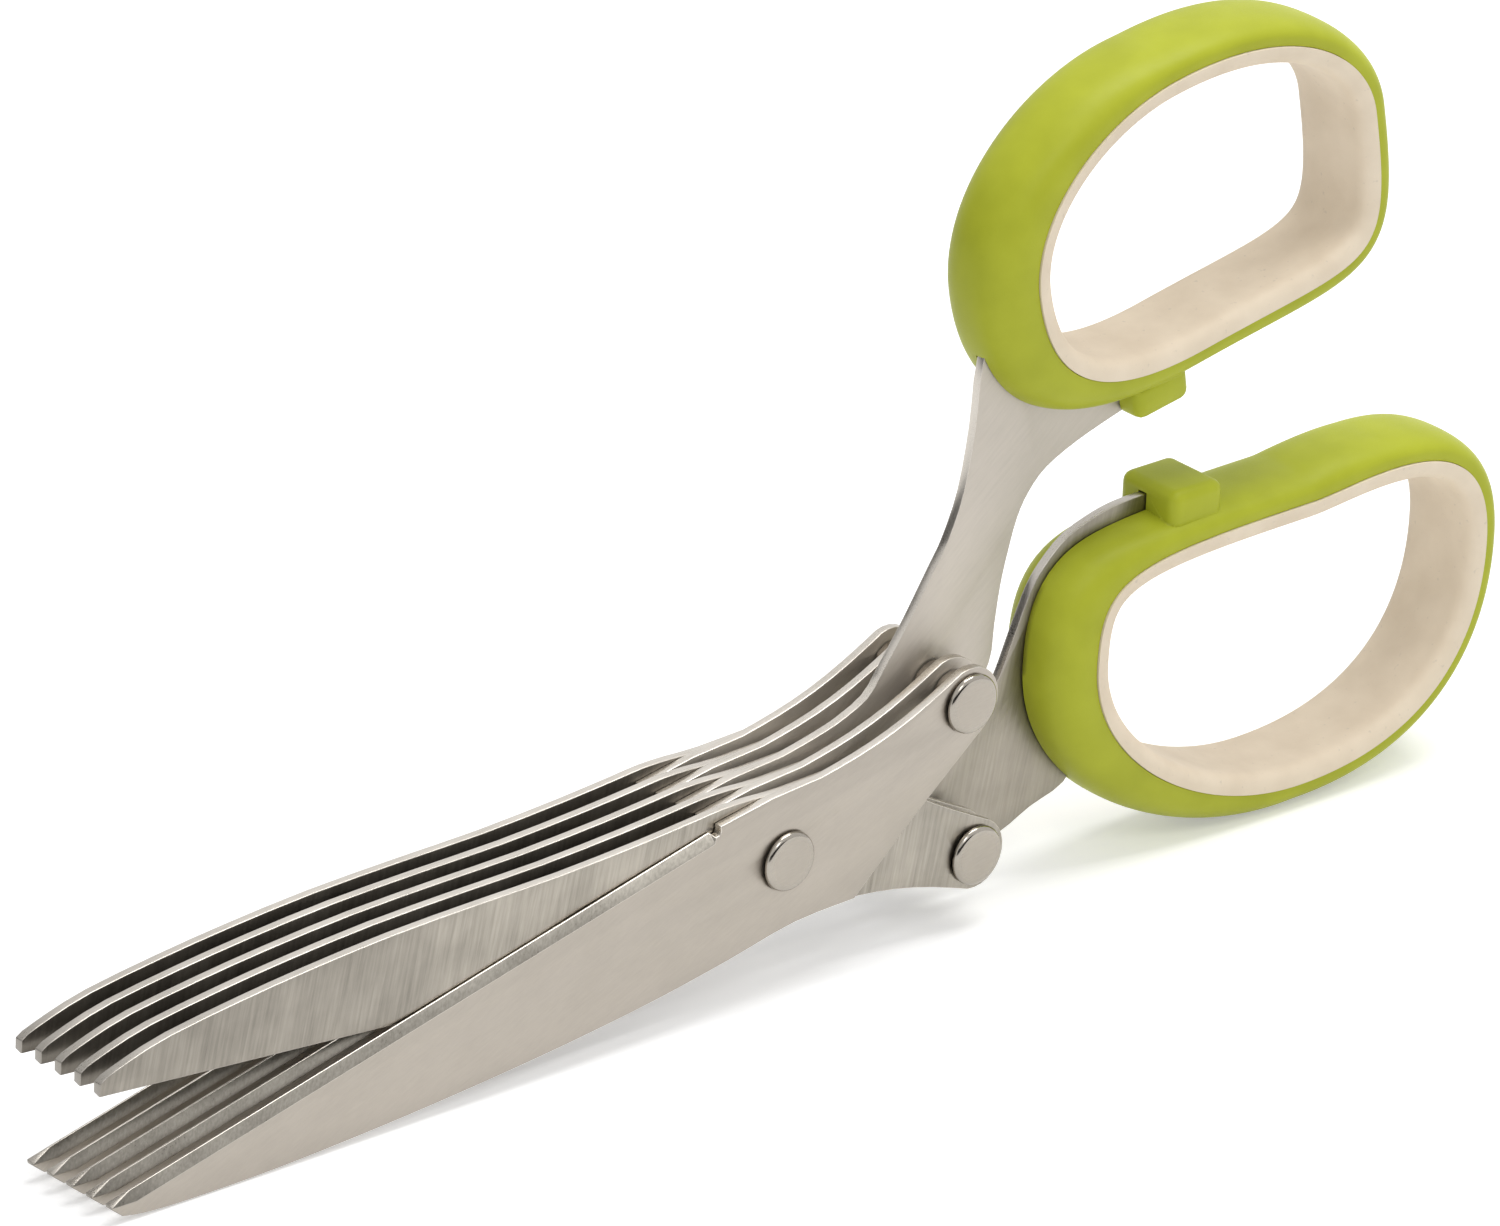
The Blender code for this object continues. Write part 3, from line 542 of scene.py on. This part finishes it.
def seam_line(seam, mirrored):
    """Evenly spaced points of a closed seam, and the outward side at each."""
    curve = seam_curve(seam)
    lengths = [0.0]
    for index, point in enumerate(curve):
        lengths.append(lengths[-1] + (curve[(index + 1) % len(curve)] - point).length)
    points = []
    place = 0
    for step in range(SEAM_STEPS):
        wanted = lengths[-1] * step / SEAM_STEPS
        while lengths[place + 1] < wanted:
            place += 1
        way = (wanted - lengths[place]) / (lengths[place + 1] - lengths[place])
        points.append(curve[place].lerp(curve[(place + 1) % len(curve)], way))
    sides = []
    for step in range(SEAM_STEPS):
        along = points[(step + 1) % SEAM_STEPS] - points[step - 1]
        sides.append(Vector((-along.y, along.x)).normalized())
    if mirrored:
        points = [Vector((point.x, -point.y)) for point in points]
        sides = [Vector((side.x, -side.y)) for side in sides]
    return points, sides


def soft_corner(corner, before, after, radius, steps=RIM_ROUND_STEPS):
    """Points that round a corner of a section."""
    start = corner + (before - corner).normalized() * radius
    end = corner + (after - corner).normalized() * radius
    points = []
    for step in range(steps + 1):
        t = step / steps
        points.append(start.lerp(corner, t).lerp(corner.lerp(end, t), t))
    return points


def shell_section(wall):
    """Closed section of the shell: (distance from the seam, depth)."""
    half = HANDLE_DEPTH / 2
    high = Vector((0.0, half))
    low = Vector((0.0, -half))
    points = soft_corner(high, Vector((SHELL_RIM_LAND, half)), low, RIM_ROUND)
    points += soft_corner(low, high, Vector((SHELL_RIM_LAND, -half)), RIM_ROUND)
    span = wall - SHELL_RIM_LAND
    for step in range(SHELL_STEPS + 1):
        angle = -math.pi / 2 + math.pi * step / SHELL_STEPS
        out = abs(math.cos(angle)) ** (2.0 / SHELL_ROUNDNESS)
        side = math.copysign(abs(math.sin(angle)) ** (2.0 / SHELL_ROUNDNESS), math.sin(angle))
        points.append(Vector((SHELL_RIM_LAND + span * out, half * side)))
    return points


def liner_section(wall):
    """Closed section of the liner, alike at every shell wall: (distance from the seam, depth)."""
    half = HANDLE_DEPTH / 2 + LINER_PROUD
    corners = [
        Vector((-LINER_GAP, half)),
        Vector((-LINER_GAP, -half)),
        Vector((-LINER_WALL, -half)),
        Vector((-LINER_WALL, half)),
    ]
    rounds = (LINER_SEAM_ROUND, LINER_SEAM_ROUND, LINER_ROUND, LINER_ROUND)
    points = []
    for index, corner in enumerate(corners):
        before = corners[index - 1]
        after = corners[(index + 1) % len(corners)]
        points += soft_corner(corner, before, after, rounds[index], LINER_ROUND_STEPS)
    return points


def swept(seam, mirrored, section):
    """A closed section carried round a seam, from a grid whose edges are then closed."""
    points, sides = seam_line(seam, mirrored)
    count = len(section(SHELL_WALL))
    bm = bmesh.new()
    bmesh.ops.create_grid(bm, x_segments=SEAM_STEPS, y_segments=count, size=1.0)
    rows = []
    for side in sides:
        wall = SHELL_WALL + (SHELL_PIVOT_WALL - SHELL_WALL) * max(-side.x, 0.0)
        rows.append(section(wall))
    for vert in bm.verts:
        step = round((vert.co.x + 1.0) / 2.0 * SEAM_STEPS) % SEAM_STEPS
        place = round((vert.co.y + 1.0) / 2.0 * count) % count
        distance, depth = rows[step][place]
        spot = points[step] + sides[step] * distance
        vert.co = (spot.x, depth, spot.y)
    bmesh.ops.remove_doubles(bm, verts=bm.verts, dist=FINE_MERGE_DISTANCE)
    bmesh.ops.recalc_face_normals(bm, faces=bm.faces)
    return bm


def joined(bm, other, operation):
    """The mesh after a union with another, or after the other is cut out of it."""
    item = new_object("passing_mesh", bm)
    tool = new_object("passing_tool", other)
    change = item.modifiers.new("change", "BOOLEAN")
    change.operation = operation
    change.solver = "EXACT"
    change.object = tool
    bpy.context.view_layer.update()
    graph = bpy.context.evaluated_depsgraph_get()
    result = bmesh.new()
    result.from_mesh(item.evaluated_get(graph).to_mesh())
    for passing in (item, tool):
        bpy.data.objects.remove(passing, do_unlink=True)
    return result


def stop_block(seam, mirrored):
    """Rounded block from the middle of the shell's wall to just short of the stops' level."""
    sign = -1.0 if mirrored else 1.0
    points, sides = seam_line(seam, mirrored)
    facing = [index for index in range(SEAM_STEPS) if sides[index].y * sign < 0.0]
    nearest = min(facing, key=lambda index: abs(points[index].x - STOP_REACH))
    root = (points[nearest] + sides[nearest] * SHELL_WALL / 2).y
    tip = STOP_LEVEL + STOP_GAP / 2 * sign
    bm = bmesh.new()
    bmesh.ops.create_cube(bm, size=1.0)
    bmesh.ops.scale(bm, verts=bm.verts, vec=(STOP_LENGTH, STOP_DEPTH, abs(root - tip)))
    bmesh.ops.translate(bm, verts=bm.verts, vec=(STOP_REACH, 0.0, (root + tip) / 2))
    softened(bm, bm.edges[:], STOP_ROUND, STOP_ROUND_STEPS, -1)
    return bm


def tang_room(tang_node):
    """The tang's solid, swollen by the room that its slot leaves round it."""
    bm = merged_copy(tang_node)
    for vert in bm.verts:
        vert.normal_update()
    moves = [vert.normal * TANG_ROOM for vert in bm.verts]
    for vert, move in zip(bm.verts, moves):
        vert.co += move
    return bm


def shell(side, seam, mirrored, place, tang_node, body, finish):
    """Shell with its stop block grown on, and the slot that holds the tang."""
    base = swept(seam, mirrored, shell_section)
    block = stop_block(seam, mirrored)
    for bm in (base, block):
        bmesh.ops.transform(bm, matrix=place, verts=bm.verts)
    whole = joined(base, block, "UNION")
    slotted = joined(whole, tang_room(tang_node), "DIFFERENCE")
    show(side + "_handle_shell", slotted, [finish], body)


def liner(side, seam, mirrored, place, body, finish):
    """Pale liner, flat inside, with rounded lips."""
    bm = swept(seam, mirrored, liner_section)
    bmesh.ops.transform(bm, matrix=place, verts=bm.verts)
    show(side + "_handle_liner", bm, [finish], body)


# Surroundings


def lit_or_seen(tree):
    """One for rays that show the surroundings, zero for rays that light the object."""
    path = tree.nodes.new("ShaderNodeLightPath")
    total = path.outputs["Is Camera Ray"]
    for kind in ("Is Glossy Ray", "Is Transmission Ray"):
        both = tree.nodes.new("ShaderNodeMath")
        both.operation = "MAXIMUM"
        tree.links.new(total, both.inputs[0])
        tree.links.new(path.outputs[kind], both.inputs[1])
        total = both.outputs[0]
    return total


def studio_world():
    """White where it is seen, softer where it lights the object."""
    world = bpy.data.worlds.new("studio_world")
    bpy.context.scene.world = world
    world.use_nodes = True
    tree = world.node_tree
    tree.nodes.clear()
    output = tree.nodes.new("ShaderNodeOutputWorld")
    soft = tree.nodes.new("ShaderNodeBackground")
    soft.inputs["Strength"].default_value = WORLD_LIGHT
    white = tree.nodes.new("ShaderNodeBackground")
    white.inputs["Strength"].default_value = 1.0
    choice = tree.nodes.new("ShaderNodeMixShader")
    for background in (soft, white):
        background.inputs["Color"].default_value = (1.0, 1.0, 1.0, 1.0)
    tree.links.new(lit_or_seen(tree), choice.inputs[0])
    tree.links.new(soft.outputs["Background"], choice.inputs[1])
    tree.links.new(white.outputs["Background"], choice.inputs[2])
    tree.links.new(choice.outputs[0], output.inputs["Surface"])


def matt_paint(name, grey, roughness):
    """A plain matt grey, with its nodes and its shader."""
    paint = bpy.data.materials.new(name)
    paint.use_nodes = True
    shader = paint.node_tree.nodes["Principled BSDF"]
    shader.inputs["Base Color"].default_value = (grey, grey, grey, 1.0)
    shader.inputs["Roughness"].default_value = roughness
    return paint, paint.node_tree, shader


def studio_floor():
    """Pale floor that keeps the shadow, and is lifted towards white where it is seen."""
    bm = bmesh.new()
    bmesh.ops.create_grid(bm, x_segments=1, y_segments=1, size=FLOOR_HALF)
    bmesh.ops.translate(bm, verts=bm.verts, vec=(0.0, 0.0, -FLOOR_DROP))
    floor = new_object("floor", bm)
    paint, tree, shader = matt_paint("floor_white", FLOOR_GREY, FLOOR_ROUGHNESS)
    shader.inputs["Specular IOR Level"].default_value = 0.0
    lift = tree.nodes.new("ShaderNodeMath")
    lift.operation = "MULTIPLY"
    lift.inputs[1].default_value = FLOOR_LIFT
    glow = tree.nodes.new("ShaderNodeEmission")
    both = tree.nodes.new("ShaderNodeAddShader")
    tree.links.new(lit_or_seen(tree), lift.inputs[0])
    tree.links.new(lift.outputs[0], glow.inputs["Strength"])
    tree.links.new(shader.outputs["BSDF"], both.inputs[0])
    tree.links.new(glow.outputs["Emission"], both.inputs[1])
    tree.links.new(both.outputs[0], tree.nodes["Material Output"].inputs["Surface"])
    floor.data.materials.append(paint)


def dark_sheet(name, width, height, place, dims_matt):
    """A dark card that faces the scissors, which metal mirrors and the camera doesn't see."""
    bm = bmesh.new()
    bmesh.ops.create_grid(bm, x_segments=1, y_segments=1, size=0.5)
    bmesh.ops.scale(bm, verts=bm.verts, vec=(width, height, 1.0))
    turn = (-Vector(place)).to_track_quat("Z", "Y").to_matrix()
    bmesh.ops.rotate(bm, verts=bm.verts, cent=(0.0, 0.0, 0.0), matrix=turn)
    bmesh.ops.translate(bm, verts=bm.verts, vec=place)
    sheet = new_object(name, bm)
    sheet.data.materials.append(matt_paint(name, SHEET_GREY, SHEET_ROUGHNESS)[0])
    sheet.visible_camera = False
    sheet.visible_diffuse = dims_matt
    sheet.visible_shadow = False


def lamp(name, place, size, energy):
    """A square soft lamp that faces the scissors."""
    data = bpy.data.lights.new(name, "AREA")
    data.size = size
    data.energy = energy
    item = bpy.data.objects.new(name, data)
    bpy.context.scene.collection.objects.link(item)
    item.location = place
    item.rotation_euler = (-Vector(place)).to_track_quat("-Z", "Y").to_euler()


photo_camera()
bpy.context.scene.view_settings.view_transform = "Standard"
studio_world()
studio_floor()
for sheet_values in DARK_SHEETS:
    dark_sheet(*sheet_values)
for lamp_values in LAMPS:
    lamp(*lamp_values)

plate_face = steel_finish(
    "plate_satin",
    dark=(0.385, 0.35, 0.305),
    light=(0.45, 0.41, 0.36),
    roughness=(0.30, 0.40),
    turn=24.0,
    along=0.0016,
    across=0.00016,
    depth=0.0000008,
)
plate_ground = steel_finish(
    "plate_ground",
    dark=(0.25, 0.231, 0.198),
    light=(0.47, 0.433, 0.376),
    roughness=(0.26, 0.38),
    turn=79.0,
    along=0.0070,
    across=0.00036,
    depth=0.0000024,
    # Painted shade: darker towards the nose and at the tail end
    painted_shades=((-0.094, 0.80), (-0.055, 0.82), (-0.046, 1.0), (0.0, 1.0), (0.025, 0.92)),
)
# Painted shade between the plates: faces inside the gaps darkened, most towards the nose
plate_between_painted_shade = steel_finish(
    "plate_between_painted_shade",
    dark=(0.27, 0.245, 0.21),
    light=(0.42, 0.385, 0.33),
    roughness=(0.36, 0.48),
    turn=79.0,
    along=0.0070,
    across=0.00036,
    depth=0.0000016,
    painted_shades=((-0.094, 0.52), (-0.045, 0.50), (-0.020, 0.54), (0.004, 0.90), (0.022, 1.0)),
)
# Painted light between the plates: faces inside the gaps are lighter than the front face; painted shade
# darkens the tang
plate_inner_painted_light_and_shade = steel_finish(
    "plate_inner_painted_light_and_shade",
    dark=(0.52, 0.48, 0.425),
    light=(0.62, 0.575, 0.515),
    roughness=(0.52, 0.62),
    turn=40.0,
    along=0.0030,
    across=0.00030,
    depth=0.0000010,
    painted_shades=((-0.094, 1.0), (0.020, 1.0), (0.030, 0.88)),
)
plate_bevel = steel_finish(
    "plate_bevel",
    dark=(0.40, 0.37, 0.318),
    light=(0.78, 0.73, 0.64),
    roughness=(0.26, 0.36),
    turn=62.0,
    along=0.0014,
    across=0.00024,
    depth=0.0000016,
    # Painted shade: the bevels darken from the notch towards the nose
    painted_shades=((-0.094, 0.30), (-0.086, 0.50), (-0.050, 0.56), (-0.035, 0.64), (-0.012, 0.95), (0.0, 1.0)),
)
plate_rim = steel_finish(
    "plate_rim",
    dark=(0.62, 0.575, 0.51),
    light=(0.82, 0.77, 0.70),
    roughness=(0.24, 0.34),
    turn=0.0,
    along=0.0024,
    across=0.00014,
    depth=0.0000010,
    # Painted shade: the rims darken at the nose, towards the tail and on the tang
    painted_shades=((-0.094, 0.40), (-0.088, 0.68), (-0.060, 0.88), (0.0, 0.92), (0.027, 0.80), (0.030, 0.70)),
)
rivet_face = steel_finish(
    "rivet_satin",
    dark=(0.36, 0.328, 0.286),
    light=(0.425, 0.388, 0.34),
    roughness=(0.28, 0.36),
    turn=10.0,
    along=0.0010,
    across=0.00012,
    depth=0.0000006,
)
rivet_rim = steel_finish(
    "rivet_polished",
    dark=(0.33, 0.302, 0.264),
    light=(0.42, 0.387, 0.34),
    roughness=(0.12, 0.20),
    turn=10.0,
    along=0.0010,
    across=0.00012,
    depth=0.0000003,
)
green = plastic_finish(
    "shell_green",
    dark=(0.405, 0.44, 0.026),
    light=(0.465, 0.505, 0.034),
    roughness=(0.40, 0.50),
    gloss=0.22,
    pebble=0.00018,
    depth=0.000006,
    stain=0.006,
)
cream = plastic_finish(
    "liner_cream",
    dark=(0.785, 0.67, 0.515),
    light=(0.86, 0.745, 0.585),
    roughness=(0.55, 0.65),
    gloss=0.5,
    pebble=0.00025,
    depth=0.000006,
    stain=0.004,
    specks=(0.0006, (0.50, 0.44, 0.36)),
)

UPPER = "upper_handle_half"
LOWER = "lower_handle_half"
for number in "12345":
    inner = [side for side, outermost in OUTERMOST_PLATE.items() if number != outermost]
    plate("lower_blade_" + number, UPPER, [plate_face, plate_bevel, plate_rim, plate_inner_painted_light_and_shade], inner)
    plate("upper_blade_" + number, LOWER, [plate_ground, plate_bevel, plate_rim, plate_between_painted_shade], inner)
rivet("pivot_rivet", UPPER, [rivet_face, rivet_rim])
rivet("upper_tail_rivet", UPPER, [rivet_face, rivet_rim])
rivet("lower_tail_rivet", LOWER, [rivet_face, rivet_rim])
for number in "1234":
    ring("pivot_washer_" + number, UPPER, rivet_rim)
    ring("upper_tail_spacer_" + number, UPPER, rivet_rim)
    ring("lower_tail_spacer_" + number, LOWER, rivet_rim)

upper_place = half_frame("upper_tail_rivet", UPPER_TAIL)
lower_place = half_frame("lower_tail_rivet", LOWER_TAIL)
shell("upper", UPPER_SEAM, False, upper_place, "lower_blade_3", UPPER, green)
shell("lower", LOWER_SEAM, True, lower_place, "upper_blade_3", LOWER, green)
liner("upper", UPPER_SEAM, False, upper_place, UPPER, cream)
liner("lower", LOWER_SEAM, True, lower_place, LOWER, cream)
